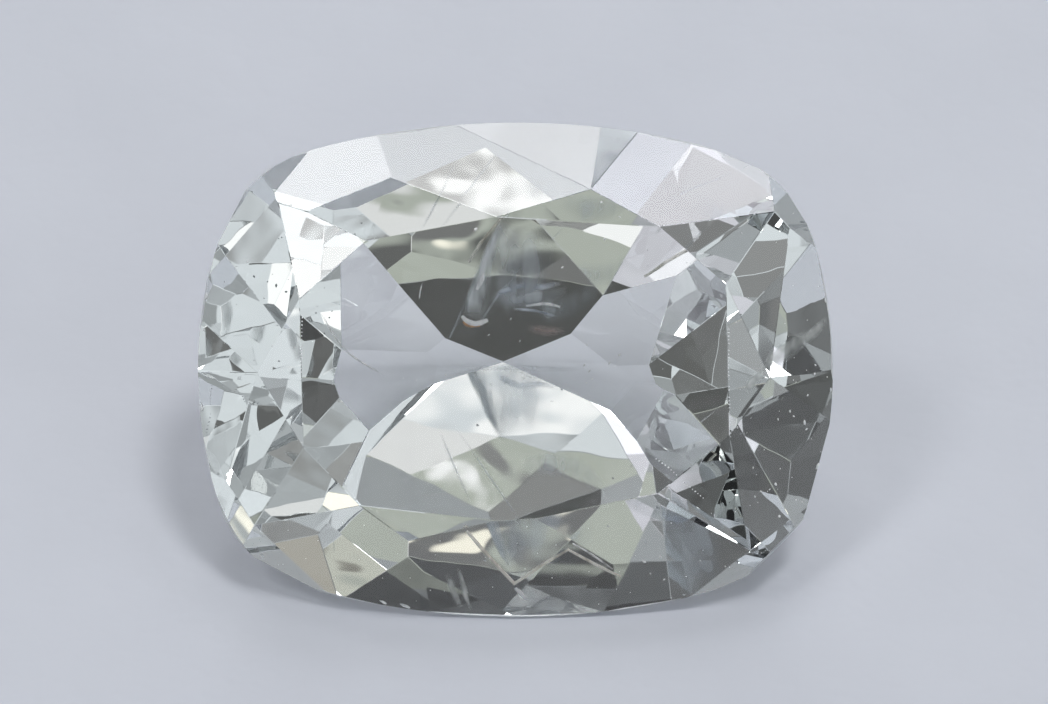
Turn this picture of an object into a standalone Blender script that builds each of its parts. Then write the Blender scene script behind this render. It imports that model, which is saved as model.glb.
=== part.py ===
"""A cushion-cut beryl, one loose polished stone, lying on its front pavilion main.

The stone is cut as a lapidary cuts it. A blank with the cushion outline is made first, and each flat facet
is then one plane cut through it. The stone is worked out with its table up and its girdle at height zero, in
millimetres, and is then laid down on the pavilion main at its front and put in metres.
"""
import math

import bmesh
import bpy
from mathutils import Matrix, Vector

MM = 0.001

# The blank and the heights, in millimetres.
GIRDLE_LENGTH = 9.0
GIRDLE_WIDTH = 7.0
GIRDLE_THICKNESS = 0.16
CROWN_HEIGHT = 0.95
PAVILION_DEPTH = 3.3
BLANK_MARGIN = 0.3

# The outline: long sides, short sides and corners are arcs that run into each other.
LONG_SIDE_RADIUS = 11.0
SHORT_SIDE_RADIUS = 6.3
CORNER_RADIUS = 1.9
SIDE_STEPS = 26
CORNER_STEPS = 12

# The right front corner has a small flat between these two points of the outline.
CORNER_FLAT = ((3.98, -2.24), (3.58, -2.64))

# The crown, clockwise from the left end of the back edge. Each row has the table corner (x, y), the azimuth
# in degrees where its kite facet reaches the girdle, the meet point (x, y, drop below the table) where the
# star on its right ends, and the azimuth where the edge from that meet point reaches the girdle.
CROWN = (
    ((-2.10, 1.81), 133.4, (-1.75, 2.71, 0.50), 120.5),
    ((-0.26, 2.15), 104.9, (1.06, 2.54, 0.17), 70.6),
    ((2.02, 2.01), 53.9, (3.66, 2.23, 0.57), 37.9),
    ((2.96, 1.21), 22.0, (3.58, -0.11, 0.20), -0.4),
    ((3.01, -0.93), -14.6, (3.30, -2.57, 0.61), -36.5),
    ((2.01, -1.74), -52.1, (1.37, -2.73, 0.48), -69.0),
    ((0.02, -2.16), -90.1, (-1.35, -2.53, 0.18), -109.3),
    ((-2.19, -1.91), -128.1, (-3.69, -2.20, 0.62), -147.1),
    ((-2.98, -1.10), -161.8, (-3.64, -0.04, 0.22), -179.5),
    ((-3.04, 0.99), 166.0, (-3.37, 2.44, 0.54), 142.5),
)

# The pavilion ends in this point, the culet. Four shallow facets meet there with the back and the front main.
# Each row has the azimuth in degrees that the facet faces and its angle to the girdle.
CULET = (-0.18, 0.11)
CULET_FACETS = (
    (143.0, 19.0),
    (32.0, 19.0),
    (-43.0, 21.3),
    (-170.0, 15.3),
)

# The eight pavilion mains by their places in the next table, clockwise from the back.
BACK, RIGHT_BACK, RIGHT, RIGHT_FRONT, FRONT, LEFT_FRONT, LEFT, LEFT_BACK = range(8)

# Each row has the azimuth that the main faces, its angle to the girdle, the neighbour that it starts from and
# the point (x, y) where it does so, the azimuth where it runs out at the girdle, the point (x, y) where the two
# lower girdle facets close its ridge with the next main, and the azimuth of the edge between those two.
PAVILION = (
    (90.0, 42.0, None, CULET, 92.0, (1.37, 0.96), 52.0),
    (42.5, 35.0, BACK, (0.79, 0.50), 33.0, (1.91, 0.06), 24.0),
    (0.0, 28.0, RIGHT_BACK, (1.91, 0.06), 0.0, (2.16, -0.22), -30.0),
    (-43.0, 34.5, FRONT, (1.31, -0.52), -36.0, (1.98, -1.21), -56.0),
    (-90.0, 42.0, None, CULET, -88.0, (-2.76, -1.27), -128.0),
    (-150.5, 31.0, FRONT, (-1.38, -0.25), -147.0, (-2.52, -0.43), -152.0),
    (180.0, 27.0, LEFT_BACK, (-2.49, 0.28), 180.0, (-2.49, 0.28), 157.0),
    (136.0, 34.5, BACK, (-0.98, 0.40), 146.0, (-2.23, 1.74), 128.0),
)
RESTING_MAIN = FRONT

# The look of the stone.
STONE_COLOUR = (0.86, 0.90, 0.87, 1.0)
STONE_ROUGHNESS = 0.02
STONE_IOR = 1.577

# Two points closer than this, in millimetres, are one point.
MERGE_DISTANCE = 0.0005


def direction(azimuth):
    """A flat unit vector at an azimuth in degrees, counted from +X towards +Y."""
    angle = math.radians(azimuth)
    return Vector((math.cos(angle), math.sin(angle)))


def arc(centre, radius, start, end, steps):
    """Points on an arc between two angles in radians, without its last point."""
    points = []
    for step in range(steps):
        angle = start + (end - start) * step / steps
        points.append(Vector((centre[0] + radius * math.cos(angle), centre[1] + radius * math.sin(angle))))
    return points


def quarter_outline():
    """The outline from the right end of the long axis to the back end of the short one."""
    side_x = GIRDLE_LENGTH / 2 - SHORT_SIDE_RADIUS
    side_y = GIRDLE_WIDTH / 2 - LONG_SIDE_RADIUS
    reach_short = SHORT_SIDE_RADIUS - CORNER_RADIUS
    reach_long = LONG_SIDE_RADIUS - CORNER_RADIUS
    # The corner's centre lies reach_short from (side_x, 0) and reach_long from (0, side_y).
    span = Vector((-side_x, side_y))
    gap = span.length
    along = (reach_short ** 2 - reach_long ** 2 + gap ** 2) / (2 * gap)
    aside = math.sqrt(reach_short ** 2 - along ** 2)
    unit = span / gap
    centre = Vector((side_x, 0.0)) + unit * along + Vector((-unit.y, unit.x)) * aside
    short_end = math.atan2(centre.y, centre.x - side_x)
    long_start = math.atan2(centre.y - side_y, centre.x)
    points = arc((side_x, 0.0), SHORT_SIDE_RADIUS, 0.0, short_end, SIDE_STEPS // 2)
    points += arc(centre, CORNER_RADIUS, short_end, long_start, CORNER_STEPS)
    points += arc((0.0, side_y), LONG_SIDE_RADIUS, long_start, math.pi / 2, SIDE_STEPS)
    return points


def girdle_outline():
    """The whole cushion outline, anticlockwise."""
    quarter = quarter_outline()
    back = [Vector((0.0, GIRDLE_WIDTH / 2))]
    left = [Vector((-GIRDLE_LENGTH / 2, 0.0))]
    top = quarter + back + [Vector((-p.x, p.y)) for p in reversed(quarter[1:])] + left
    return top + [Vector((p.x, -p.y)) for p in reversed(top[1:-1])]


def rim_point(outline, azimuth, height):
    """Where the ray from the centre at an azimuth leaves the outline."""
    ray = direction(azimuth)
    for start, end in zip(outline, outline[1:] + outline[:1]):
        edge = end - start
        turn = ray.cross(edge)
        if abs(turn) < 1e-9:
            continue
        reach = start.cross(edge) / turn
        share = start.cross(ray) / turn
        if reach > 0 and -1e-6 <= share <= 1 + 1e-6:
            return Vector((ray.x * reach, ray.y * reach, height))
    raise ValueError("the ray misses the outline")


def plane_through(a, b, c):
    """The plane through three points, as a point and a normal that points away from the stone's middle."""
    normal = (b - a).cross(c - a).normalized()
    inside = Vector((0.0, 0.0, -PAVILION_DEPTH / 3))
    if normal.dot(a - inside) < 0:
        normal = -normal
    return a, normal


def crown_planes(outline):
    """The table, then the star, the kite and the two upper girdle facets of each row of the crown."""
    planes = [(Vector((0.0, 0.0, CROWN_HEIGHT)), Vector((0.0, 0.0, 1.0)))]
    count = len(CROWN)
    corners = [Vector((x, y, CROWN_HEIGHT)) for (x, y), tip, meet, split in CROWN]
    tips = [rim_point(outline, tip, 0.0) for corner, tip, meet, split in CROWN]
    meets = [Vector((x, y, CROWN_HEIGHT - drop)) for corner, tip, (x, y, drop), split in CROWN]
    splits = [rim_point(outline, split, 0.0) for corner, tip, meet, split in CROWN]
    for i in range(count):
        after = (i + 1) % count
        planes.append(plane_through(corners[i], corners[after], meets[i]))
        planes.append(plane_through(corners[i], meets[i - 1], meets[i]))
        planes.append(plane_through(meets[i], tips[i], splits[i]))
        planes.append(plane_through(meets[i], splits[i], tips[after]))
    return planes


def sloping_normal(facing, angle):
    """The outward normal of a pavilion facet."""
    flat = direction(facing)
    slope = math.radians(angle)
    return Vector((flat.x * math.sin(slope), flat.y * math.sin(slope), -math.cos(slope)))


def main_plane(index):
    """A pavilion main through the culet, or through the point where it starts from its neighbour."""
    facing, angle, neighbour, (x, y), out, meet, split = PAVILION[index]
    start = Vector((x, y, -PAVILION_DEPTH))
    if neighbour is not None:
        point, normal = main_plane(neighbour)
        fall = (normal.x * (x - point.x) + normal.y * (y - point.y)) / normal.z
        start = Vector((x, y, point.z - fall))
    return start, sloping_normal(facing, angle)


def ridge_meet(first, second, near):
    """The point on the ridge between two mains that is nearest, seen from above, to a flat point."""
    ridge = first[1].cross(second[1])
    across = ridge.cross(first[1])
    start = first[0] + across * ((second[0] - first[0]).dot(second[1]) / across.dot(second[1]))
    flat = Vector((ridge.x, ridge.y))
    share = (Vector(near) - Vector((start.x, start.y))).dot(flat) / flat.dot(flat)
    return start + ridge * share


def pavilion_planes(outline):
    """Each main and the two lower girdle facets between it and the next one, then the culet facets."""
    planes = []
    count = len(PAVILION)
    mains = [main_plane(index) for index in range(count)]
    outs = [rim_point(outline, row[4], -GIRDLE_THICKNESS) for row in PAVILION]
    splits = [rim_point(outline, row[6], -GIRDLE_THICKNESS) for row in PAVILION]
    for i in range(count):
        after = (i + 1) % count
        meet = ridge_meet(mains[i], mains[after], PAVILION[i][5])
        planes.append(mains[i])
        planes.append(plane_through(meet, outs[i], splits[i]))
        planes.append(plane_through(meet, splits[i], outs[after]))
    culet = Vector((CULET[0], CULET[1], -PAVILION_DEPTH))
    for facing, angle in CULET_FACETS:
        planes.append((culet, sloping_normal(facing, angle)))
    return planes


def cushion_blank(outline):
    """The outline as an upright prism that holds the whole stone."""
    mesh = bmesh.new()
    low = -PAVILION_DEPTH - BLANK_MARGIN
    high = CROWN_HEIGHT + BLANK_MARGIN
    base = mesh.faces.new([mesh.verts.new((p.x, p.y, low)) for p in reversed(outline)])
    raised = bmesh.ops.extrude_face_region(mesh, geom=[base], use_keep_orig=True)
    lifted = [item for item in raised["geom"] if isinstance(item, bmesh.types.BMVert)]
    bmesh.ops.translate(mesh, verts=lifted, vec=(0.0, 0.0, high - low))
    bmesh.ops.recalc_face_normals(mesh, faces=mesh.faces)
    return mesh


def cut_facet(mesh, point, normal):
    """Grind away all that lies outside the plane, and close the flat that is left."""
    everything = mesh.verts[:] + mesh.edges[:] + mesh.faces[:]
    result = bmesh.ops.bisect_plane(
        mesh, geom=everything, dist=MERGE_DISTANCE / 5, plane_co=point, plane_no=normal, clear_outer=True)
    rim = [item for item in result["geom_cut"] if isinstance(item, bmesh.types.BMEdge) and item.is_boundary]
    if rim:
        bmesh.ops.edgeloop_fill(mesh, edges=rim)
        bmesh.ops.recalc_face_normals(mesh, faces=mesh.faces)


def cut_stone():
    """The finished stone in its cutting position, with the table up."""
    outline = girdle_outline()
    mesh = cushion_blank(outline)
    first, second = [Vector((x, y, 0.0)) for x, y in CORNER_FLAT]
    corner_flat = plane_through(first, second, first + Vector((0.0, 0.0, 1.0)))
    for point, normal in [corner_flat] + crown_planes(outline) + pavilion_planes(outline):
        cut_facet(mesh, point, normal)
    bmesh.ops.remove_doubles(mesh, verts=mesh.verts, dist=MERGE_DISTANCE)
    bmesh.ops.dissolve_degenerate(mesh, edges=mesh.edges, dist=MERGE_DISTANCE)
    bmesh.ops.recalc_face_normals(mesh, faces=mesh.faces)
    return mesh


def lay_down(mesh):
    """Turn the stone onto its front main, set it on the ground and centre it, in metres."""
    tilt = math.radians(PAVILION[RESTING_MAIN][1])
    bmesh.ops.transform(mesh, matrix=Matrix.Rotation(tilt, 4, "X"), verts=mesh.verts)
    lows = [min(vert.co[axis] for vert in mesh.verts) for axis in range(3)]
    highs = [max(vert.co[axis] for vert in mesh.verts) for axis in range(3)]
    shift = Vector((-(lows[0] + highs[0]) / 2, -(lows[1] + highs[1]) / 2, -lows[2]))
    bmesh.ops.translate(mesh, verts=mesh.verts, vec=shift)
    bmesh.ops.scale(mesh, verts=mesh.verts, vec=(MM, MM, MM))


def stone_material():
    """Clear, nearly colourless beryl with a trace of grey green."""
    material = bpy.data.materials.new("beryl_polished")
    material.use_nodes = True
    shader = material.node_tree.nodes["Principled BSDF"]
    shader.inputs["Base Color"].default_value = STONE_COLOUR
    shader.inputs["Roughness"].default_value = STONE_ROUGHNESS
    shader.inputs["IOR"].default_value = STONE_IOR
    shader.inputs["Transmission Weight"].default_value = 1.0
    return material


def build_beryl():
    """The stone as one object, named beryl."""
    cut = cut_stone()
    lay_down(cut)
    mesh = bpy.data.meshes.new("beryl")
    cut.to_mesh(mesh)
    cut.free()
    mesh.materials.append(stone_material())
    beryl = bpy.data.objects.new("beryl", mesh)
    bpy.context.scene.collection.objects.link(beryl)
    return beryl


def main():
    for old in list(bpy.context.scene.objects):
        bpy.data.objects.remove(old, do_unlink=True)
    build_beryl()


main()
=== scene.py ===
"""The looks of a loose cushion-cut beryl that lies on a pale surface in soft studio light."""
import math
import random

import bmesh
import bpy
from mathutils import Matrix, Vector
from mathutils.bvhtree import BVHTree


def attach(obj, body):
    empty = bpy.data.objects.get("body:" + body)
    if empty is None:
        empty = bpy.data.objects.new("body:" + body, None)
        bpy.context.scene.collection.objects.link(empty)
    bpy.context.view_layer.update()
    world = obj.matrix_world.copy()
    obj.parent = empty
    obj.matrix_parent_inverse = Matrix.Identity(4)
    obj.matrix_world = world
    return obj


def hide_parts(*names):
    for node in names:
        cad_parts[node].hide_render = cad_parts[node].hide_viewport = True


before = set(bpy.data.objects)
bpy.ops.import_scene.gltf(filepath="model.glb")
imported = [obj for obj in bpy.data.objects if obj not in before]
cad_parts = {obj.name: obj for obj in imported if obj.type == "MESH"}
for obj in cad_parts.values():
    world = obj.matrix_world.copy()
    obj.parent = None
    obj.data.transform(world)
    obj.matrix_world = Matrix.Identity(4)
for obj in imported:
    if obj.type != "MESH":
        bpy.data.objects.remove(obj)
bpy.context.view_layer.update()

MM = 0.001

# The stone lies on the pavilion main at its front, so its table leans this far towards the viewer.
TABLE_LEAN = math.radians(42.0)
TABLE_UP = Vector((0.0, -math.sin(TABLE_LEAN), math.cos(TABLE_LEAN)))
TABLE_BACK = Vector((0.0, math.cos(TABLE_LEAN), math.sin(TABLE_LEAN)))

# The camera looks square at the table. It aims at the middle of the picture, which is a little off the
# girdle's middle.
CAMERA_DISTANCE = 120 * MM
IMAGE_WIDTH = 1048
STONE_PIXELS = 635
STONE_LENGTH = 9.0 * MM
PIXEL = STONE_LENGTH / STONE_PIXELS
GIRDLE_MIDDLE = Vector((0.0, -0.053, 2.379)) * MM
MIDDLE_PIXEL = (515.5, 369.5)
AIM_RIGHT = 8.5 * PIXEL
AIM_BACK = 17.5 * PIXEL
SENSOR_WIDTH = 36.0
NEAREST_SEEN = 1 * MM
FARTHEST_SEEN = 10.0

# Polished junctions between facets are this wide. Shorter edges, smaller faces and flatter bends have none.
JUNCTION_NARROW = 0.006 * MM
JUNCTION_WIDE = 0.014 * MM
SHORT_EDGE = 0.03 * MM
SMALL_FACE = 0.003 * MM * MM
LEAST_BEND = math.radians(1.0)
JUNCTION_SEED = 7

# In the solid, points this close are one point, and triangles that bend less than this are one facet.
SAME_POINT = 0.0006 * MM
ONE_FACET = math.radians(0.4)

# How much of a face's direction is the table's: less than the first on the girdle's wall, more than the
# second on the crown, and more than the third on the table itself.
WALL_FACING = math.cos(math.radians(88))
CROWN_FACING = 0.1
TABLE_FACING = 0.99

# The girdle's ground bevel under the crown narrows and widens along the rim, in waves of which each row gives
# the number round the rim and the start in radians.
RIM_NARROW = 0.026 * MM
RIM_WIDE = 0.060 * MM
RIM_WAVES = ((7, 0.6), (19, 2.0))
RIM_WAVE_SHARE = 0.25

# The polish leaves long shallow waves.
WAVE_SCALE = 1100.0
WAVE_DEPTH = 0.0017 * MM

BERYL_IOR = 1.577
BERYL_TINT = (0.82, 0.90, 0.87, 1.0)
BERYL_TINT_DENSITY = 40.0

# The mottled finishes: dull and bright colour, how fine mottling and grain are, and the grain's depth.
FROST_COLOURS = ((0.74, 0.77, 0.80, 1.0), (0.98, 0.99, 1.0, 1.0))
FROST_SCALE = 6000.0
FROST_GRAIN_SCALE = 16000.0
FROST_GRAIN_DEPTH = 0.004 * MM
DUST_COLOURS = ((0.72, 0.73, 0.74, 1.0), (0.98, 0.98, 0.97, 1.0))
DUST_SCALE = 30000.0
DUST_GRAIN_SCALE = 60000.0
DUST_GRAIN_DEPTH = 0.002 * MM
CHIP_COLOURS = ((0.70, 0.74, 0.76, 1.0), (1.0, 1.0, 1.0, 1.0))
CHIP_SCALE = 22000.0
CHIP_GRAIN_SCALE = 40000.0
CHIP_GRAIN_DEPTH = 0.004 * MM
FLOOR_COLOURS = ((0.599, 0.618, 0.676, 1.0), (0.617, 0.636, 0.695, 1.0))
FLOOR_SCALE = 300.0
FLOOR_GRAIN_SCALE = 1500.0
FLOOR_GRAIN_DEPTH = 0.012 * MM

FLOOR_RADIUS = 3.0
FLOOR_SIDES = 96
FLOOR_DROP = 0.02 * MM

# How often light may be bent or mirrored, and how many thin sheets it may cross.
LIGHT_BOUNCES = 10
SHEETS_CROSSED = 16

# What stands round the stone, from the back of the stack to the front: azimuth and elevation of the middle
# and radius in degrees, how it is squeezed, share of the radius that fades out, brightness and tint.
# Azimuth 0 is the right and -90 the viewer's side. A small squeeze factor widens a panel along that axis.
ROUND = (1.0, 1.0, 1.0)
WIDE = (0.4, 1.0, 1.0)
LOW = (1.0, 1.0, 2.5)
COOL = (0.95, 1.0, 1.04)
PLAIN = (1.0, 1.0, 1.0)
WARM = (1.05, 1.0, 0.86)
LILAC = (0.98, 0.97, 1.06)
OLIVE = (0.97, 1.03, 0.92)
ROOM_BRIGHTNESS = 0.34
PANELS = (
    (-30.0, 42.0, 34.0, ROUND, 0.3, 0.76, COOL),
    (-32.0, 9.0, 32.0, LOW, 0.3, 0.45, COOL),
    (-90.0, 66.0, 11.0, WIDE, 0.2, 0.72, COOL),
    (-92.0, 43.0, 10.0, WIDE, 0.2, 0.44, OLIVE),
    (-150.0, 40.0, 16.0, ROUND, 0.3, 0.66, LILAC),
    (-138.0, 8.0, 42.0, LOW, 0.3, 0.07, PLAIN),
    (165.0, 14.0, 24.0, LOW, 0.3, 0.07, PLAIN),
    (-92.0, 22.0, 12.0, ROUND, 0.15, 0.06, PLAIN),
    (-92.0, 4.0, 9.0, ROUND, 0.3, 0.12, PLAIN),
    (92.0, 63.0, 17.0, WIDE, 0.2, 0.035, PLAIN),
    (150.0, 78.0, 10.0, ROUND, 0.3, 0.05, PLAIN),
    (-95.5, 47.5, 3.0, ROUND, 0.2, 0.16, PLAIN),
    (-105.3, 35.8, 1.8, ROUND, 0.3, 0.08, PLAIN),
    (-97.0, 35.0, 3.0, ROUND, 0.3, 0.24, PLAIN),
    (-85.4, 48.4, 2.2, ROUND, 0.3, 0.78, PLAIN),
    (-87.8, 49.8, 1.2, ROUND, 0.5, 0.22, PLAIN),
    (-91.0, 50.6, 1.6, ROUND, 0.5, 0.07, PLAIN),
    (-92.2, 40.4, 1.1, ROUND, 0.4, 0.12, PLAIN),
    (-94.2, 50.4, 0.9, ROUND, 0.4, 1.10, WARM),
    (-88.4, 46.8, 0.9, ROUND, 0.5, 0.95, PLAIN),
    (-85.4, 45.2, 1.0, ROUND, 0.5, 0.22, PLAIN),
    (-92.7, 46.2, 0.8, ROUND, 0.4, 0.95, WARM),
    (-90.6, 27.0, 0.9, ROUND, 0.5, 0.24, COOL),
    (-88.0, 68.2, 1.8, ROUND, 0.6, 1.00, PLAIN),
    (-92.2, 65.8, 1.4, ROUND, 0.6, 0.48, PLAIN),
    (-75.0, 51.0, 3.3, WIDE, 0.3, 0.10, PLAIN),
    (-58.0, 48.5, 3.0, ROUND, 0.3, 0.12, PLAIN),
    (-66.0, 61.0, 4.0, ROUND, 0.3, 0.26, PLAIN),
    (-62.0, 24.0, 5.0, ROUND, 0.3, 0.10, PLAIN),
    (-54.0, 27.0, 4.0, ROUND, 0.3, 0.30, PLAIN),
    (-34.0, 29.0, 3.0, ROUND, 0.3, 0.12, PLAIN),
    (-29.0, 46.5, 3.2, ROUND, 0.3, 0.15, PLAIN),
    (-28.0, 58.0, 4.0, ROUND, 0.3, 0.13, PLAIN),
    (-47.0, 39.0, 2.0, ROUND, 0.3, 0.14, PLAIN),
    (-20.0, 38.0, 2.2, ROUND, 0.3, 0.12, PLAIN),
    (-8.0, 36.0, 3.0, ROUND, 0.3, 0.12, PLAIN),
    (-114.0, 64.0, 5.0, ROUND, 0.3, 0.10, PLAIN),
    (-82.0, 70.0, 2.6, ROUND, 0.3, 0.22, PLAIN),
    (-118.0, 79.0, 6.0, ROUND, 0.3, 0.14, PLAIN),
    (-20.0, 17.5, 5.5, ROUND, 0.3, 0.30, PLAIN),
    (-46.0, 9.0, 3.5, ROUND, 0.3, 0.26, PLAIN),
    (-110.0, 18.5, 5.5, ROUND, 0.3, 0.07, PLAIN),
    (-138.0, 22.0, 4.0, ROUND, 0.3, 0.10, PLAIN),
    (-150.5, 24.0, 5.5, ROUND, 0.3, 0.20, PLAIN),
    (-147.0, 39.0, 3.2, ROUND, 0.4, 0.28, PLAIN),
    (-58.0, 29.5, 2.6, ROUND, 0.3, 0.34, PLAIN),
    (-138.0, 53.0, 4.5, ROUND, 0.3, 1.15, LILAC),
    (-73.0, 34.0, 3.0, ROUND, 0.3, 1.25, WARM),
    (-52.0, 46.5, 2.4, ROUND, 0.3, 1.25, PLAIN),
    (-39.0, 57.0, 4.0, ROUND, 0.3, 1.15, PLAIN),
    (-71.0, 12.0, 5.0, ROUND, 0.3, 0.85, COOL),
    (-5.0, 22.0, 5.0, ROUND, 0.3, 0.70, PLAIN),
    (-50.0, 16.0, 2.4, ROUND, 0.3, 0.80, PLAIN),
    (-113.0, 55.0, 2.6, ROUND, 0.3, 1.00, PLAIN),
    (98.0, 28.0, 9.0, WIDE, 0.3, 3.0, PLAIN),
    (89.0, 50.0, 6.5, ROUND, 0.4, 7.5, PLAIN),
    (104.0, 60.5, 6.5, ROUND, 0.4, 6.5, PLAIN),
    (60.5, 52.0, 5.0, ROUND, 0.4, 7.0, LILAC),
    (115.0, 57.5, 4.6, ROUND, 0.4, 9.5, PLAIN),
    (77.5, 46.5, 2.8, ROUND, 0.4, 8.5, COOL),
    (22.0, 74.0, 8.0, ROUND, 0.3, 19.0, PLAIN),
    (178.0, 60.0, 8.0, ROUND, 0.3, 8.0, PLAIN),
    (59.0, 59.5, 2.0, ROUND, 0.3, 0.36, OLIVE),
    (41.0, 31.0, 5.0, ROUND, 0.3, 0.36, WARM),
)

# How dense a thin sheet inside the stone is, from its left edge to its right when its course runs down.
EVEN = (0.0, 0.5, 0.9, 1.0, 0.9, 0.5, 0.0)
LEFT_EDGE = (0.0, 1.0, 0.55, 0.42, 0.36, 0.28, 0.14, 0.0)
FULL = (0.75, 1.0, 1.0, 0.75)

# The finishes of the sheets inside the stone: thin and thick colour, how much they hide, how fine the streaks
# are and how the streaks are stretched. A small factor makes them longer along that axis.
STREAKS_UP = (1.0, 0.25, 0.25)
STREAKS_ACROSS = (0.3, 1.0, 1.0)
STREAKS_PATCHY = (0.7, 0.5, 0.5)
INNER_FINISHES = {
    "veil": ((0.55, 0.60, 0.62, 1.0), (0.86, 0.90, 0.92, 1.0), 0.85, 5200.0, STREAKS_UP),
    # Besides hazy matter in the stone, this finish paints the soft shadow edge seen through it.
    "haze_and_painted_shade": ((0.50, 0.56, 0.62, 1.0), (0.78, 0.84, 0.90, 1.0), 0.34, 3600.0, STREAKS_UP),
    "wisp": ((0.52, 0.60, 0.74, 1.0), (0.84, 0.90, 1.0, 1.0), 0.62, 4200.0, STREAKS_ACROSS),
    # Besides cracks and the veil's rim, this finish paints glints: a caustic curve, a mirrored girdle line
    # and a small glint.
    "crack_and_painted_glint": ((0.85, 0.88, 0.90, 1.0), (1.0, 1.0, 1.0, 1.0), 0.9, 7000.0, STREAKS_UP),
    # Painted reflection: the warm white of the girdle's rim mirrored inside the stone.
    "painted_girdle_reflection": ((0.80, 0.72, 0.60, 1.0), (1.0, 0.97, 0.90, 1.0), 1.0, 5000.0, STREAKS_UP),
    "amber": ((0.40, 0.16, 0.05, 1.0), (0.75, 0.38, 0.16, 1.0), 0.5, 7000.0, STREAKS_UP),
    "rust": ((0.34, 0.22, 0.20, 1.0), (0.56, 0.42, 0.40, 1.0), 0.30, 4200.0, STREAKS_ACROSS),
    "cloud": ((0.60, 0.64, 0.62, 1.0), (0.92, 0.95, 0.93, 1.0), 0.55, 4600.0, STREAKS_PATCHY),
}
UNSTREAKED_SHARE = 0.45
INNER_RELIEF = 0.004 * MM

# A sheet has this many steps between two points of its course, and fades in and out this many times faster
# than its length runs.
COURSE_STEPS = 8
FADE_SPEED = 4

# The sheets inside the stone: name, course as pixels with the width there, first and last height in mm over
# the girdle, density across and finish.
SHEETS = (
    ("veil_cone", ((512, 222, 26), (500, 258, 36), (484, 298, 36), (474, 322, 26)),
     (0.5, -0.1), LEFT_EDGE, "veil"),
    ("veil_fold", ((506, 224, 16), (494, 256, 20), (479, 290, 20), (468, 318, 14)),
     (0.5, -0.1), LEFT_EDGE, "veil"),
    ("veil_haze", ((522, 226, 42), (526, 256, 58), (517, 290, 52), (500, 312, 30)),
     (0.4, -0.2), EVEN, "haze_and_painted_shade"),
    ("veil_rim", ((462, 316, 3), (467, 321, 5), (476, 324, 6), (488, 320, 4)), (-0.1, -0.1), FULL, "crack_and_painted_glint"),
    ("rim_under", ((463, 322, 2), (469, 326, 3), (480, 326, 2)), (-0.1, -0.1), FULL, "amber"),
    ("long_glint", ((477, 290, 3), (481, 282, 5), (485, 273, 3)), (0.3, 0.3), FULL, "crack_and_painted_glint"),
    ("short_glint", ((474, 307, 2), (475, 300, 3.4), (477, 295, 2)), (0.1, 0.1), FULL, "crack_and_painted_glint"),
    ("wisp_high", ((491, 302, 6), (503, 292, 8), (520, 286, 9), (541, 287, 8), (562, 283, 6)),
     (0.2, 0.0), EVEN, "wisp"),
    ("wisp_body", ((494, 298, 18), (515, 300, 22), (545, 296, 18), (568, 290, 8)), (0.1, 0.1), EVEN, "haze_and_painted_shade"),
    ("wisp_line", ((526, 306, 2), (545, 304, 3), (560, 307, 2)), (0.0, 0.0), FULL, "crack_and_painted_glint"),
    ("wisp_low", ((513, 309, 3), (535, 311, 4), (558, 317, 3)), (0.0, 0.0), EVEN, "wisp"),
    ("rust_patch", ((526, 327, 8), (545, 331, 12), (566, 331, 6)), (0.1, 0.1), EVEN, "rust"),
    ("left_scratch", ((420, 300, 1.4), (421, 292, 1.6), (423, 283, 1.4)), (0.8, 0.8), EVEN, "crack_and_painted_glint"),
    ("needle_left", ((440, 430, 3.4), (455, 466, 3.8), (471, 502, 3.2)), (0.7, 0.5), EVEN, "haze_and_painted_shade"),
    ("needle_right", ((455, 425, 3.4), (487, 472, 4.0), (520, 520, 3.2)), (0.7, 0.5), EVEN, "haze_and_painted_shade"),
    # Painted caustic: a bright curve that stands for light focused on the floor, seen through the stone.
    ("painted_caustic_arc", ((321, 312, 2), (346, 350, 2.4), (384, 375, 2)), (0.2, 0.2), EVEN, "crack_and_painted_glint"),
    # Painted shade: a soft line that stands for the edge of the stone's shadow on the floor, seen through the
    # stone.
    ("painted_shadow_edge", ((430, 371, 5), (500, 368, 7), (580, 370, 5)), (-0.6, -0.6), EVEN, "haze_and_painted_shade"),
    # The four zigzag sheets are painted reflection: bright lines that stand for the girdle's rim mirrored
    # inside the stone.
    ("zigzag_left", ((466, 519, 3.0), (488, 547, 4.2), (515, 579, 3.6)), (0.2, 0.0), FULL, "painted_girdle_reflection"),
    ("zigzag_middle", ((514, 578, 3.4), (541, 558, 3.6), (568, 540, 2.6)), (0.0, 0.1), FULL, "painted_girdle_reflection"),
    ("zigzag_right", ((567, 540, 2.6), (595, 557, 3.4), (620, 571, 2.4)), (0.1, 0.0), FULL, "painted_girdle_reflection"),
    ("zigzag_twin", ((572, 533, 1.6), (592, 546, 2.4), (612, 562, 1.6)), (0.1, 0.0), FULL, "crack_and_painted_glint"),
    # Painted glint: a small bright oval of light, as a white sheet.
    ("oval_glint", ((515, 583, 3), (521, 590, 5), (526, 597, 2.4)), (0.0, 0.0), FULL, "crack_and_painted_glint"),
    ("cloud_low", ((752, 374, 12), (768, 358, 20), (786, 346, 20), (806, 334, 12)),
     (0.1, 0.0), EVEN, "cloud"),
    ("cloud_high", ((792, 350, 8), (803, 338, 12), (815, 330, 12), (826, 318, 6)), (0.0, 0.0), EVEN, "cloud"),
    ("cloud_tail", ((738, 392, 8), (748, 380, 12), (760, 372, 8)), (0.1, 0.1), EVEN, "cloud"),
    ("bottom_cloud", ((520, 470, 18), (548, 462, 30), (580, 470, 26), (604, 492, 14)),
     (-0.2, -0.3), EVEN, "haze_and_painted_shade"),
    ("bottom_streak", ((447, 566, 7), (454, 586, 9), (461, 606, 6)), (0.05, -0.05), EVEN, "cloud"),
    ("bottom_twin", ((458, 560, 5), (464, 584, 7), (471, 608, 4)), (0.05, -0.05), EVEN, "cloud"),
)

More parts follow.
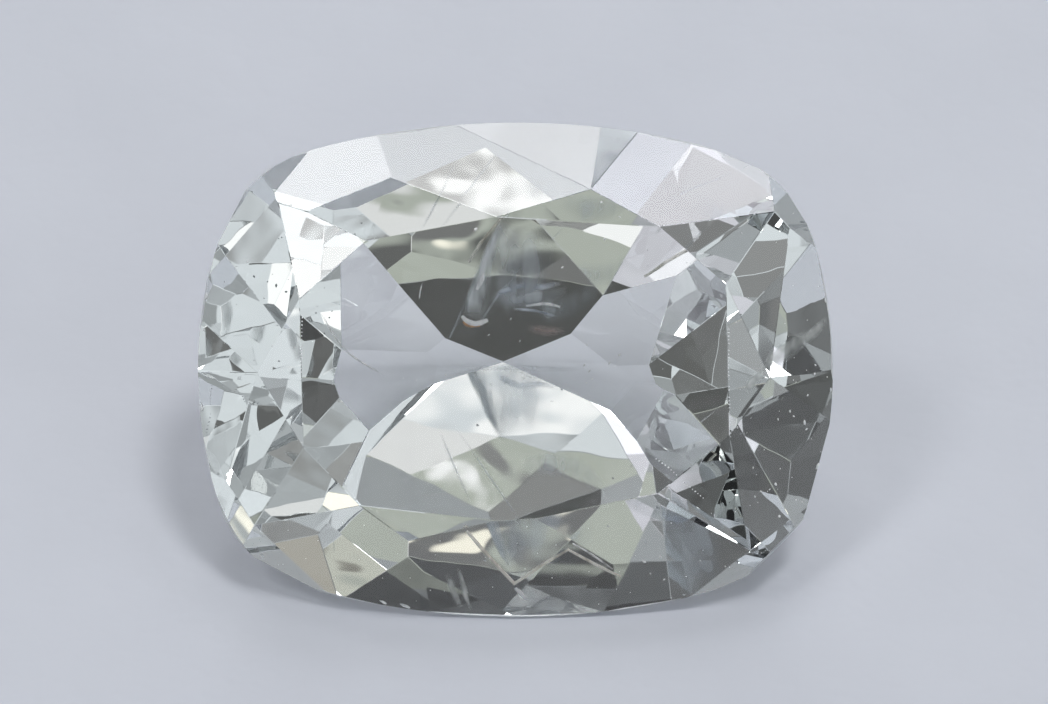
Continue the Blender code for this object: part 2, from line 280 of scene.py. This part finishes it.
# Pinpoints just under the table, as pixels with their length there.
PINPOINTS = (
    (587, 345, 3), (584, 365, 4), (589, 371, 4), (592, 379, 3), (586, 383, 3), (609, 363, 4), (614, 366, 2),
    (619, 355, 4), (524, 378, 3), (446, 375, 3), (492, 384, 2), (489, 335, 3), (511, 319, 3), (520, 341, 3),
    (404, 378, 2), (417, 380, 2), (662, 369, 2), (552, 401, 2),
)

# Larger grains of dust on the crown, as pixels with their width there.
LARGE_GRAINS = (
    (815, 365, 2.4), (814, 374, 2.8), (827, 377, 2.0), (807, 395, 2.6), (789, 411, 2.4), (793, 416, 2.6),
    (804, 422, 4.4), (806, 429, 3.0), (777, 419, 2.4), (752, 467, 2.6), (775, 484, 3.8), (769, 489, 2.6),
    (760, 491, 2.8), (779, 516, 3.4), (754, 496, 2.6), (796, 500, 2.2), (802, 502, 2.6), (736, 427, 2.4),
    (644, 561, 3.4), (650, 573, 2.2), (660, 556, 2.4), (664, 579, 2.2), (700, 560, 2.0), (725, 566, 2.0),
    (601, 203, 2.6), (604, 240, 2.4), (619, 218, 2.2), (562, 268, 2.6), (476, 230, 3.0), (248, 262, 2.2),
)

# How far a grain's or a chip's corners stray from an even lump, and ranges and shares of a grain's own width
# or length. A pinpoint's lean is in radians and its height in mm over the girdle.
LUMP_STRAY = (0.75, 1.15)
PINPOINT_LEAN = (0.6, 1.3)
PINPOINT_HEIGHT = (0.3, 0.6)
PINPOINT_WIDTH = 0.4
PINPOINT_DEPTH = 0.3
PINPOINT_SEED = 11
LARGE_GRAIN_TURN = (-2.0, 2.0)
LARGE_GRAIN_LENGTH = (0.9, 1.5)
LARGE_GRAIN_WIDTH = (0.6, 1.0)
LARGE_GRAIN_DEPTH = 0.5
LARGE_GRAIN_SEED = 23

# Fine dust: its grains' sizes and number. It lies on the crown, right of this pixel column or below this row.
GRAIN_SMALLEST = 0.004 * MM
GRAIN_LARGEST = 0.010 * MM
GRAINS_PER_SQUARE_METRE = 4.5e6
DUSTY_RIGHT = 650
DUSTY_LOW = 545
DUST_SEED = 17
GRAIN_LENGTH_SEED = 3
GRAIN_WIDTH_SEED = 5

# Worn edges with small white dots, as courses of pixels, and the dots' spacing and size.
WORN_EDGES = (
    ((727, 322), (727, 352), (727, 384), (728, 412), (729, 436)),
    ((655, 458), (668, 467), (686, 484), (702, 497)),
    ((304, 318), (303, 345), (303, 372)),
)
DOT_SPACING = 0.050 * MM
DOT_SMALLEST = 0.008 * MM
DOT_LARGEST = 0.017 * MM
DOT_SHARE = 0.75
DOT_SEED = 9

# Chips on the girdle's edge: pixel, length along the rim and width in pixels. Their height and how far they
# are set in are shares of the width.
CHIP_HEIGHT = 0.35
CHIP_INSET = 0.25
CHIP_SEED = 31
CHIPS = (
    (203, 295, 9, 3.6), (201, 408, 10, 3.6), (205, 330, 5, 2.4), (383, 602, 10, 3.6), (405, 606, 12, 4.0),
    (824, 468, 8, 3.4), (831, 390, 5, 2.4), (828, 300, 6, 2.6), (262, 556, 7, 3.0), (770, 556, 8, 3.6),
)

# Marks are dropped on the surface from the first height in mm over the girdle. Past the rim, they go to the
# nearest place from the second.
ABOVE_STONE = 4.0
ABOVE_RIM = 0.1

# Where a Random Value node has its sockets for numbers, and its result for yes or no.
RANDOM_LOW = 2
RANDOM_HIGH = 3
RANDOM_NUMBER = 1
RANDOM_CHOICE = 3


def place(x, y, height=0.0):
    """The point that shows at a pixel, at a height in mm over the girdle's upper edge."""
    right = Vector(((x - MIDDLE_PIXEL[0]) * PIXEL, 0.0, 0.0))
    return GIRDLE_MIDDLE + right + TABLE_BACK * (MIDDLE_PIXEL[1] - y) * PIXEL + TABLE_UP * height * MM


def direction(azimuth, elevation):
    """A unit vector towards an azimuth and an elevation in degrees."""
    turn = math.radians(azimuth)
    rise = math.radians(elevation)
    return Vector((math.cos(turn) * math.cos(rise), math.sin(turn) * math.cos(rise), math.sin(rise)))


def link_object(name, data):
    piece = bpy.data.objects.new(name, data)
    bpy.context.scene.collection.objects.link(piece)
    return piece


def new_material(name):
    """A material with nodes, given with its node tree and its Principled shader."""
    material = bpy.data.materials.new(name)
    material.use_nodes = True
    return material, material.node_tree, material.node_tree.nodes["Principled BSDF"]


def uneven_group():
    """A value that wanders smoothly over a surface, for polish, grinding, veils, dust and the floor."""
    group = bpy.data.node_groups.new("uneven_surface", "ShaderNodeTree")
    group.interface.new_socket("Stretch", in_out="INPUT", socket_type="NodeSocketVector")
    for name in ("Scale", "Detail", "Low", "High"):
        group.interface.new_socket(name, in_out="INPUT", socket_type="NodeSocketFloat")
    group.interface.new_socket("Value", in_out="OUTPUT", socket_type="NodeSocketFloat")
    nodes, links = group.nodes, group.links
    given = nodes.new("NodeGroupInput")
    result = nodes.new("NodeGroupOutput")
    where = nodes.new("ShaderNodeTexCoord")
    stretched = nodes.new("ShaderNodeVectorMath")
    stretched.operation = "MULTIPLY"
    links.new(where.outputs["Object"], stretched.inputs[0])
    links.new(given.outputs["Stretch"], stretched.inputs[1])
    noise = nodes.new("ShaderNodeTexNoise")
    links.new(stretched.outputs["Vector"], noise.inputs["Vector"])
    links.new(given.outputs["Scale"], noise.inputs["Scale"])
    links.new(given.outputs["Detail"], noise.inputs["Detail"])
    span = nodes.new("ShaderNodeMapRange")
    span.interpolation_type = "SMOOTHSTEP"
    links.new(noise.outputs["Fac"], span.inputs["Value"])
    links.new(given.outputs["Low"], span.inputs["From Min"])
    links.new(given.outputs["High"], span.inputs["From Max"])
    links.new(span.outputs["Result"], result.inputs["Value"])
    return group


def uneven(tree, scale, stretch=(1.0, 1.0, 1.0), detail=1.0, low=0.2, high=0.8):
    """The shared wandering value, placed in one material with its own sizes."""
    node = tree.nodes.new("ShaderNodeGroup")
    node.node_tree = bpy.data.node_groups.get("uneven_surface") or uneven_group()
    node.inputs["Stretch"].default_value = stretch
    node.inputs["Scale"].default_value = scale
    node.inputs["Detail"].default_value = detail
    node.inputs["Low"].default_value = low
    node.inputs["High"].default_value = high
    return node.outputs["Value"]


def raised(tree, height, depth):
    """A normal that follows a height, of the given depth in metres."""
    bump = tree.nodes.new("ShaderNodeBump")
    bump.inputs["Distance"].default_value = depth
    tree.links.new(height, bump.inputs["Height"])
    return bump.outputs["Normal"]


def blended(tree, value, first, second):
    """A colour between two, by a value."""
    mix = tree.nodes.new("ShaderNodeMix")
    mix.data_type = "RGBA"
    mix.inputs["A"].default_value = first
    mix.inputs["B"].default_value = second
    tree.links.new(value, mix.inputs["Factor"])
    return mix.outputs["Result"]


def times(tree, first, second):
    """The product of a value and a value or number."""
    product = tree.nodes.new("ShaderNodeMath")
    product.operation = "MULTIPLY"
    tree.links.new(first, product.inputs[0])
    if isinstance(second, float):
        product.inputs[1].default_value = second
    else:
        tree.links.new(second, product.inputs[1])
    return product.outputs["Value"]


def mottle(tree, shader, mottling, colours, grain, depth):
    """A colour that varies finely between two, and a fine relief."""
    tree.links.new(blended(tree, mottling, *colours), shader.inputs["Base Color"])
    tree.links.new(raised(tree, grain, depth), shader.inputs["Normal"])


def polished_beryl():
    material, tree, shader = new_material("polished_beryl")
    tree.links.new(raised(tree, uneven(tree, WAVE_SCALE, detail=0.6), WAVE_DEPTH), shader.inputs["Normal"])
    shader.inputs["Base Color"].default_value = (1.0, 1.0, 1.0, 1.0)
    shader.inputs["Roughness"].default_value = 0.0
    shader.inputs["IOR"].default_value = BERYL_IOR
    shader.inputs["Transmission Weight"].default_value = 1.0
    absorb(tree)
    return material


def absorb(tree):
    """The trace of grey green that the light picks up inside the stone."""
    volume = tree.nodes.new("ShaderNodeVolumeAbsorption")
    volume.inputs["Color"].default_value = BERYL_TINT
    volume.inputs["Density"].default_value = BERYL_TINT_DENSITY
    tree.links.new(volume.outputs["Volume"], tree.nodes["Material Output"].inputs["Volume"])


def ground_girdle():
    material, tree, shader = new_material("ground_girdle")
    frost = uneven(tree, FROST_SCALE, detail=3.0)
    grain = uneven(tree, FROST_GRAIN_SCALE, detail=2.0)
    mottle(tree, shader, frost, FROST_COLOURS, grain, FROST_GRAIN_DEPTH)
    shader.inputs["Roughness"].default_value = 0.5
    shader.inputs["IOR"].default_value = BERYL_IOR
    shader.inputs["Transmission Weight"].default_value = 0.4
    absorb(tree)
    return material


def inner_finish(name, thin, thick, density, scale, stretch):
    """Pale see-through sheets in the stone, streaked and soft at their edges; some are matter, others painted
    light.
    """
    material, tree, shader = new_material(name)
    streaks = uneven(tree, scale, stretch, detail=2.0, low=0.3, high=0.65)
    tree.links.new(blended(tree, streaks, thin, thick), shader.inputs["Base Color"])
    cover = tree.nodes.new("ShaderNodeAttribute")
    cover.attribute_name = "cover"
    share = times(tree, times(tree, cover.outputs["Fac"], density), streaks)
    solid = tree.nodes.new("ShaderNodeMath")
    solid.operation = "MULTIPLY_ADD"
    solid.inputs[1].default_value = density * UNSTREAKED_SHARE
    tree.links.new(cover.outputs["Fac"], solid.inputs[0])
    tree.links.new(share, solid.inputs[2])
    solid.use_clamp = True
    tree.links.new(solid.outputs["Value"], shader.inputs["Alpha"])
    tree.links.new(raised(tree, streaks, INNER_RELIEF), shader.inputs["Normal"])
    shader.inputs["Roughness"].default_value = 0.45
    return material


def inner_finishes():
    """The finishes of the sheets inside the stone, by name."""
    return {name: inner_finish(name, *look) for name, look in INNER_FINISHES.items()}


def white_dust():
    material, tree, shader = new_material("white_dust")
    grey = uneven(tree, DUST_SCALE, detail=2.0)
    grain = uneven(tree, DUST_GRAIN_SCALE)
    mottle(tree, shader, grey, DUST_COLOURS, grain, DUST_GRAIN_DEPTH)
    shader.inputs["Roughness"].default_value = 0.6
    return material


def chipped_edge():
    material, tree, shader = new_material("chipped_edge")
    grey = uneven(tree, CHIP_SCALE, detail=2.0)
    grain = uneven(tree, CHIP_GRAIN_SCALE, detail=2.0)
    mottle(tree, shader, grey, CHIP_COLOURS, grain, CHIP_GRAIN_DEPTH)
    shader.inputs["Roughness"].default_value = 0.25
    return material


def cut_plane(mesh, point, normal):
    """Grind away what lies outside a plane, and close the flat. Gives the new face, or None."""
    everything = mesh.verts[:] + mesh.edges[:] + mesh.faces[:]
    result = bmesh.ops.bisect_plane(
        mesh, geom=everything, dist=SAME_POINT / 10, plane_co=point, plane_no=normal, clear_outer=True)
    rim = [item for item in result["geom_cut"] if isinstance(item, bmesh.types.BMEdge) and item.is_boundary]
    if not rim:
        return None
    made = bmesh.ops.edgeloop_fill(mesh, edges=rim)
    for face in made["faces"]:
        if face.normal.dot(normal) < 0:
            face.normal_flip()
    return made["faces"][0] if made["faces"] else None


def rim_width(point):
    """The width of the ground bevel at a point of the rim."""
    away = point - GIRDLE_MIDDLE
    around = math.atan2(away.dot(TABLE_BACK), away.x)
    wave = 0.5
    for count, start in RIM_WAVES:
        wave += RIM_WAVE_SHARE * math.sin(count * around + start)
    return RIM_NARROW + (RIM_WIDE - RIM_NARROW) * wave


def stone_mesh():
    """The solid's own facets, with each junction between two facets ground to a narrow strip."""
    mesh = bmesh.new()
    mesh.from_mesh(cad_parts["beryl"].data)
    bmesh.ops.remove_doubles(mesh, verts=mesh.verts, dist=SAME_POINT)
    bmesh.ops.dissolve_limit(
        mesh, angle_limit=ONE_FACET, verts=mesh.verts, edges=mesh.edges, use_dissolve_boundaries=False)
    bmesh.ops.recalc_face_normals(mesh, faces=mesh.faces)
    walls = {face for face in mesh.faces if abs(face.normal.dot(TABLE_UP)) < WALL_FACING}
    draws = random.Random(JUNCTION_SEED)
    junctions = []
    for edge in mesh.edges:
        if len(edge.link_faces) != 2 or edge.calc_length() < SHORT_EDGE:
            continue
        first, second = edge.link_faces
        width = draws.uniform(JUNCTION_NARROW, JUNCTION_WIDE)
        if first in walls and second in walls:
            continue
        if min(first.calc_area(), second.calc_area()) < SMALL_FACE:
            continue
        bend = first.normal.angle(second.normal)
        if bend < LEAST_BEND:
            continue
        normal = (first.normal + second.normal).normalized()
        middle = (edge.verts[0].co + edge.verts[1].co) / 2
        at_rim = first in walls or second in walls
        if at_rim and max(first.normal.dot(TABLE_UP), second.normal.dot(TABLE_UP)) > CROWN_FACING:
            width = rim_width(middle)
        depth = width / 2 * math.tan(bend / 2) if bend < math.pi / 2 else width / 2
        junctions.append((middle - normal * depth, normal, int(at_rim)))
    for point, normal, finish in junctions:
        flat = cut_plane(mesh, point, normal)
        if flat is not None:
            flat.material_index = finish
    bmesh.ops.remove_doubles(mesh, verts=mesh.verts, dist=SAME_POINT / 4)
    bmesh.ops.dissolve_degenerate(mesh, edges=mesh.edges, dist=SAME_POINT / 4)
    bmesh.ops.recalc_face_normals(mesh, faces=mesh.faces)
    for face in mesh.faces:
        if abs(face.normal.dot(TABLE_UP)) < WALL_FACING:
            face.material_index = 1
            face.smooth = True
    return mesh


def make_stone():
    cut = stone_mesh()
    mesh = bpy.data.meshes.new("cut_stone")
    cut.to_mesh(mesh)
    cut.free()
    mesh.materials.append(polished_beryl())
    mesh.materials.append(ground_girdle())
    stone = link_object("cut_stone", mesh)
    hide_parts("beryl")
    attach(stone, "root")
    return stone


def whole_mesh(name, shape, finish):
    """A bmesh as a mesh with one finish, faces outward."""
    bmesh.ops.recalc_face_normals(shape, faces=shape.faces)
    mesh = bpy.data.meshes.new(name)
    shape.to_mesh(mesh)
    shape.free()
    mesh.materials.append(finish)
    return mesh


def belongs_to_stone(piece):
    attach(piece, "root")


def smooth_course(course, steps):
    """Points on one smooth curve through the rows of a course."""
    rows = [Vector(row) for row in course]
    rows = [rows[0] * 2 - rows[1]] + rows + [rows[-1] * 2 - rows[-2]]
    points = []
    for before, start, end, after in zip(rows, rows[1:], rows[2:], rows[3:]):
        for step in range(steps):
            t = step / steps
            bend = (before * 2 - start * 5 + end * 4 - after) * t * t
            twist = (start * 3 - before - end * 3 + after) * t * t * t
            points.append((start * 2 + (end - before) * t + bend + twist) / 2)
    points.append(rows[-2])
    return points


def make_sheet(name, course, heights, profile, finish):
    """A thin arched sheet inside the stone that fades towards its edges."""
    shape = bmesh.new()
    cover = shape.verts.layers.float.new("cover")
    points = smooth_course(course, COURSE_STEPS)
    last = len(points) - 1
    rows = []
    for index, point in enumerate(points):
        along = points[min(index + 1, last)] - points[max(index - 1, 0)]
        side = Vector((-along.y, along.x)).normalized()
        share = index / last
        height = heights[0] + (heights[1] - heights[0]) * share
        fade = 1.0 if profile == FULL else min(1.0, FADE_SPEED * share, FADE_SPEED * (1 - share))
        row = []
        for step, dense in enumerate(profile):
            across = 0.5 - step / (len(profile) - 1)
            arch = (0.25 - across * across) * point.z * PIXEL / MM
            x = point.x + side.x * across * point.z
            y = point.y + side.y * across * point.z
            corner = shape.verts.new(place(x, y, height + arch))
            corner[cover] = dense * fade
            row.append(corner)
        rows.append(row)
    for upper, lower in zip(rows, rows[1:]):
        for left in range(len(profile) - 1):
            face = shape.faces.new((upper[left], lower[left], lower[left + 1], upper[left + 1]))
            face.smooth = True
    belongs_to_stone(link_object(name, whole_mesh(name, shape, finish)))


def lump(shape, middle, long_way, wide_way, up, sizes, draws):
    """A small irregular grain or flake with its own three half sizes."""
    turn = Matrix((long_way, wide_way, up)).transposed().to_4x4()
    stretch = Matrix.Diagonal((*sizes, 1.0))
    made = bmesh.ops.create_icosphere(
        shape, subdivisions=1, radius=1.0, matrix=Matrix.Translation(middle) @ turn @ stretch)
    for corner in made["verts"]:
        corner.co = middle + (corner.co - middle) * draws.uniform(*LUMP_STRAY)


def make_pinpoints(finish):
    draws = random.Random(PINPOINT_SEED)
    shape = bmesh.new()
    for x, y, length in PINPOINTS:
        lean = draws.uniform(*PINPOINT_LEAN)
        long_way = Vector((math.cos(lean), 0.0, 0.0)) + TABLE_BACK * math.sin(lean)
        wide_way = TABLE_UP.cross(long_way)
        middle = place(x, y, draws.uniform(*PINPOINT_HEIGHT))
        half = length * PIXEL / 2
        sizes = (half, half * PINPOINT_WIDTH, half * PINPOINT_DEPTH)
        lump(shape, middle, long_way, wide_way, TABLE_UP, sizes, draws)
    belongs_to_stone(link_object("pinpoints", whole_mesh("pinpoints", shape, finish)))


def surface_point(surface, x, y):
    """The point and facing of the stone's surface that shows at a pixel."""
    point, normal = surface.ray_cast(place(x, y, ABOVE_STONE), -TABLE_UP)[:2]
    if point is None:
        point, normal = surface.find_nearest(place(x, y, ABOVE_RIM))[:2]
    return point, normal


def make_large_grains(surface, finish):
    draws = random.Random(LARGE_GRAIN_SEED)
    shape = bmesh.new()
    for x, y, width in LARGE_GRAINS:
        point, normal = surface_point(surface, x, y)
        turned = Vector((1.0, 0.0, 0.0)) + TABLE_BACK * draws.uniform(*LARGE_GRAIN_TURN)
        long_way = turned.cross(normal).normalized()
        wide_way = normal.cross(long_way)
        half = width * PIXEL / 2
        half_length = half * draws.uniform(*LARGE_GRAIN_LENGTH)
        half_width = half * draws.uniform(*LARGE_GRAIN_WIDTH)
        sizes = (half_length, half_width, half * LARGE_GRAIN_DEPTH)
        lump(shape, point, long_way, wide_way, normal, sizes, draws)
    belongs_to_stone(link_object("large_grains", whole_mesh("large_grains", shape, finish)))


def make_chips(surface, finish):
    """Frosted chips where the crown meets the girdle."""
    draws = random.Random(CHIP_SEED)
    shape = bmesh.new()
    for x, y, length, width in CHIPS:
        point = surface.find_nearest(place(x, y))[0]
        outward = (place(x, y) - GIRDLE_MIDDLE).normalized()
        long_way = TABLE_UP.cross(outward).normalized()
        wide_way = TABLE_UP.cross(long_way)
        middle = point - outward * width * PIXEL * CHIP_INSET
        sizes = (length * PIXEL / 2, width * PIXEL / 2, width * PIXEL * CHIP_HEIGHT)
        lump(shape, middle, long_way, wide_way, TABLE_UP, sizes, draws)
    belongs_to_stone(link_object("girdle_chips", whole_mesh("girdle_chips", shape, finish)))


def random_between(tree, low, high, seed):
    """A random size for each point, between two sizes."""
    node = tree.nodes.new("FunctionNodeRandomValue")
    node.data_type = "FLOAT"
    tree.links.new(low, node.inputs[RANDOM_LOW])
    tree.links.new(high, node.inputs[RANDOM_HIGH])
    node.inputs["Seed"].default_value = seed
    return node.outputs[RANDOM_NUMBER]


def finish_tree(tree, points, rotation, finish):
    """A low grain of random size on each point, made real and given its finish."""
    nodes, links = tree.nodes, tree.links
    given = next(node for node in nodes if node.bl_idname == "NodeGroupInput")
    result = nodes.new("NodeGroupOutput")
    grain = nodes.new("GeometryNodeMeshIcoSphere")
    grain.inputs["Radius"].default_value = 1.0
    grain.inputs["Subdivisions"].default_value = 1
    sizes = nodes.new("ShaderNodeCombineXYZ")
    for axis, seed in (("X", GRAIN_LENGTH_SEED), ("Y", GRAIN_WIDTH_SEED)):
        size = random_between(tree, given.outputs["Smallest"], given.outputs["Largest"], seed)
        links.new(size, sizes.inputs[axis])
    links.new(given.outputs["Smallest"], sizes.inputs["Z"])
    placed = nodes.new("GeometryNodeInstanceOnPoints")
    links.new(points, placed.inputs["Points"])
    links.new(grain.outputs["Mesh"], placed.inputs["Instance"])
    links.new(sizes.outputs["Vector"], placed.inputs["Scale"])
    if rotation is not None:
        links.new(rotation, placed.inputs["Rotation"])
    real = nodes.new("GeometryNodeRealizeInstances")
    links.new(placed.outputs["Instances"], real.inputs["Geometry"])
    dressed = nodes.new("GeometryNodeSetMaterial")
    dressed.inputs["Material"].default_value = finish
    links.new(real.outputs["Geometry"], dressed.inputs["Geometry"])
    links.new(dressed.outputs["Geometry"], result.inputs["Geometry"])
    return placed


def new_tree(name, floats):
    """An empty geometry tree with named inputs for its sizes."""
    tree = bpy.data.node_groups.new(name, "GeometryNodeTree")
    tree.interface.new_socket("Geometry", in_out="INPUT", socket_type="NodeSocketGeometry")
    for label in floats:
        tree.interface.new_socket(label, in_out="INPUT", socket_type="NodeSocketFloat")
    tree.interface.new_socket("Geometry", in_out="OUTPUT", socket_type="NodeSocketGeometry")
    return tree, tree.nodes.new("NodeGroupInput")


def scattered_tree(finish):
    """Fine dust that has settled at random over facets."""
    tree, given = new_tree("settled_dust", ("Density", "Smallest", "Largest"))
    spread = tree.nodes.new("GeometryNodeDistributePointsOnFaces")
    spread.inputs["Seed"].default_value = DUST_SEED
    tree.links.new(given.outputs["Geometry"], spread.inputs["Mesh"])
    tree.links.new(given.outputs["Density"], spread.inputs["Density"])
    finish_tree(tree, spread.outputs["Points"], spread.outputs["Rotation"], finish)
    return tree


def dotted_tree(finish):
    """White dots at an even spacing along a worn edge, with some left out at random."""
    tree, given = new_tree("worn_edge", ("Spacing", "Share", "Smallest", "Largest"))
    line = tree.nodes.new("GeometryNodeMeshToCurve")
    tree.links.new(given.outputs["Geometry"], line.inputs["Mesh"])
    even = tree.nodes.new("GeometryNodeResampleCurve")
    even.mode = "LENGTH"
    tree.links.new(line.outputs["Curve"], even.inputs["Curve"])
    tree.links.new(given.outputs["Spacing"], even.inputs["Length"])
    kept = tree.nodes.new("FunctionNodeRandomValue")
    kept.data_type = "BOOLEAN"
    kept.inputs["Seed"].default_value = DOT_SEED
    tree.links.new(given.outputs["Share"], kept.inputs["Probability"])
    placed = finish_tree(tree, even.outputs["Curve"], None, finish)
    tree.links.new(kept.outputs[RANDOM_CHOICE], placed.inputs["Selection"])
    return tree


def grown_piece(name, base, tree, sizes):
    """The plain mesh that a geometry tree makes from a base mesh."""
    piece = link_object(name, base)
    modifier = piece.modifiers.new(name, "NODES")
    modifier.node_group = tree
    for item in tree.interface.items_tree:
        if item.item_type == "SOCKET" and item.in_out == "INPUT" and item.name in sizes:
            modifier[item.identifier] = sizes[item.name]
    evaluated = piece.evaluated_get(bpy.context.evaluated_depsgraph_get())
    grown = bpy.data.meshes.new_from_object(evaluated)
    piece.modifiers.remove(modifier)
    piece.data = grown
    belongs_to_stone(piece)


def make_fine_dust(stone, finish):
    """Fine dust on the crown's right and lower facets."""
    shape = bmesh.new()
    shape.from_mesh(stone.data)
    clean = []
    for face in shape.faces:
        away = face.calc_center_median() - GIRDLE_MIDDLE
        x = MIDDLE_PIXEL[0] + away.x / PIXEL
        y = MIDDLE_PIXEL[1] - away.dot(TABLE_BACK) / PIXEL
        on_crown = CROWN_FACING < face.normal.dot(TABLE_UP) < TABLE_FACING
        if not on_crown or (x < DUSTY_RIGHT and y < DUSTY_LOW):
            clean.append(face)
    bmesh.ops.delete(shape, geom=clean, context="FACES")
    base = bpy.data.meshes.new("dusty_facets")
    shape.to_mesh(base)
    shape.free()
    sizes = {"Density": GRAINS_PER_SQUARE_METRE, "Smallest": GRAIN_SMALLEST, "Largest": GRAIN_LARGEST}
    grown_piece("fine_dust", base, scattered_tree(finish), sizes)


def make_worn_edges(surface, finish):
    base = bpy.data.meshes.new("worn_courses")
    corners = []
    edges = []
    for course in WORN_EDGES:
        first = len(corners)
        corners += [surface_point(surface, x, y)[0] for x, y in course]
        edges += [(index, index + 1) for index in range(first, len(corners) - 1)]
    base.from_pydata(corners, edges, [])
    sizes = {"Spacing": DOT_SPACING, "Share": DOT_SHARE, "Smallest": DOT_SMALLEST, "Largest": DOT_LARGEST}
    grown_piece("worn_edge_dots", base, dotted_tree(finish), sizes)


def make_marks(stone):
    """What is inside the stone and on its surface."""
    shape = bmesh.new()
    shape.from_mesh(stone.data)
    surface = BVHTree.FromBMesh(shape)
    shape.free()
    finishes = inner_finishes()
    for name, course, heights, profile, finish in SHEETS:
        make_sheet(name, course, heights, profile, finishes[finish])
    dust = white_dust()
    chipped = chipped_edge()
    make_pinpoints(dust)
    make_large_grains(surface, dust)
    make_chips(surface, chipped)
    make_fine_dust(stone, dust)
    make_worn_edges(surface, chipped)


def make_floor():
    mesh = bpy.data.meshes.new("floor")
    disc = bmesh.new()
    bmesh.ops.create_circle(disc, cap_ends=True, radius=FLOOR_RADIUS, segments=FLOOR_SIDES)
    bmesh.ops.translate(disc, verts=disc.verts, vec=(0.0, 0.0, -FLOOR_DROP))
    disc.to_mesh(mesh)
    disc.free()
    material, tree, shader = new_material("pale_floor")
    patches = uneven(tree, FLOOR_SCALE, detail=3.0, low=0.3, high=0.7)
    grain = uneven(tree, FLOOR_GRAIN_SCALE, detail=2.0)
    mottle(tree, shader, patches, FLOOR_COLOURS, grain, FLOOR_GRAIN_DEPTH)
    shader.inputs["Roughness"].default_value = 0.9
    shader.inputs["Specular IOR Level"].default_value = 0.2
    mesh.materials.append(material)
    floor = link_object("floor", mesh)


def panel_group():
    """A soft round panel or card, far off in one direction, in front of what was there before."""
    group = bpy.data.node_groups.new("soft_panel", "ShaderNodeTree")
    for name in ("Direction", "Middle"):
        group.interface.new_socket(name, in_out="INPUT", socket_type="NodeSocketVector")
    for name in ("Full", "Gone"):
        group.interface.new_socket(name, in_out="INPUT", socket_type="NodeSocketFloat")
    for name in ("Colour", "Behind"):
        group.interface.new_socket(name, in_out="INPUT", socket_type="NodeSocketColor")
    group.interface.new_socket("Light", in_out="OUTPUT", socket_type="NodeSocketColor")
    nodes, links = group.nodes, group.links
    given = nodes.new("NodeGroupInput")
    result = nodes.new("NodeGroupOutput")
    gap = nodes.new("ShaderNodeVectorMath")
    gap.operation = "DISTANCE"
    links.new(given.outputs["Direction"], gap.inputs[0])
    links.new(given.outputs["Middle"], gap.inputs[1])
    soft = nodes.new("ShaderNodeMapRange")
    soft.interpolation_type = "SMOOTHSTEP"
    links.new(gap.outputs["Value"], soft.inputs["Value"])
    links.new(given.outputs["Gone"], soft.inputs["From Min"])
    links.new(given.outputs["Full"], soft.inputs["From Max"])
    cover = nodes.new("ShaderNodeMix")
    cover.data_type = "RGBA"
    links.new(soft.outputs["Result"], cover.inputs["Factor"])
    links.new(given.outputs["Behind"], cover.inputs["A"])
    links.new(given.outputs["Colour"], cover.inputs["B"])
    links.new(cover.outputs["Result"], result.inputs["Light"])
    return group


def squeezed_direction(tree, where, squeeze):
    """The direction of view with its axes squeezed, shared by all panels of that shape."""
    if squeeze == ROUND:
        return where.outputs["Generated"]
    scaled = tree.nodes.new("ShaderNodeVectorMath")
    scaled.operation = "MULTIPLY"
    scaled.inputs[1].default_value = squeeze
    tree.links.new(where.outputs["Generated"], scaled.inputs[0])
    return scaled.outputs["Vector"]


def make_studio():
    world = bpy.data.worlds.new("soft_studio")
    bpy.context.scene.world = world
    world.use_nodes = True
    tree = world.node_tree
    where = tree.nodes.new("ShaderNodeTexCoord")
    looks = {squeeze: squeezed_direction(tree, where, squeeze) for squeeze in (ROUND, WIDE, LOW)}
    group = panel_group()
    behind = None
    for azimuth, elevation, radius, squeeze, edge, brightness, tint in PANELS:
        panel = tree.nodes.new("ShaderNodeGroup")
        panel.node_tree = group
        panel.inputs["Middle"].default_value = direction(azimuth, elevation) * Vector(squeeze)
        panel.inputs["Gone"].default_value = math.radians(radius)
        panel.inputs["Full"].default_value = math.radians(radius) * (1 - edge)
        panel.inputs["Colour"].default_value = [brightness * part for part in tint] + [1.0]
        tree.links.new(looks[squeeze], panel.inputs["Direction"])
        if behind is None:
            panel.inputs["Behind"].default_value = [ROOM_BRIGHTNESS * part for part in COOL] + [1.0]
        else:
            tree.links.new(behind, panel.inputs["Behind"])
        behind = panel.outputs["Light"]
    tree.links.new(behind, tree.nodes["Background"].inputs["Color"])


def make_camera():
    camera_data = bpy.data.cameras.new("camera")
    camera = link_object("camera", camera_data)
    aim = GIRDLE_MIDDLE + Vector((AIM_RIGHT, 0.0, 0.0)) + TABLE_BACK * AIM_BACK
    camera.location = aim + TABLE_UP * CAMERA_DISTANCE
    camera.rotation_euler = TABLE_UP.to_track_quat("Z", "Y").to_euler()
    camera_data.sensor_width = SENSOR_WIDTH
    camera_data.lens = SENSOR_WIDTH * CAMERA_DISTANCE / (IMAGE_WIDTH * PIXEL)
    camera_data.clip_start = NEAREST_SEEN
    camera_data.clip_end = FARTHEST_SEEN
    bpy.context.scene.camera = camera


def light_paths():
    scene = bpy.context.scene
    scene.cycles.max_bounces = LIGHT_BOUNCES
    scene.cycles.transmission_bounces = LIGHT_BOUNCES
    scene.cycles.glossy_bounces = LIGHT_BOUNCES
    scene.cycles.transparent_max_bounces = SHEETS_CROSSED
    scene.view_settings.view_transform = "Standard"


make_marks(make_stone())
make_floor()
make_studio()
make_camera()
light_paths()
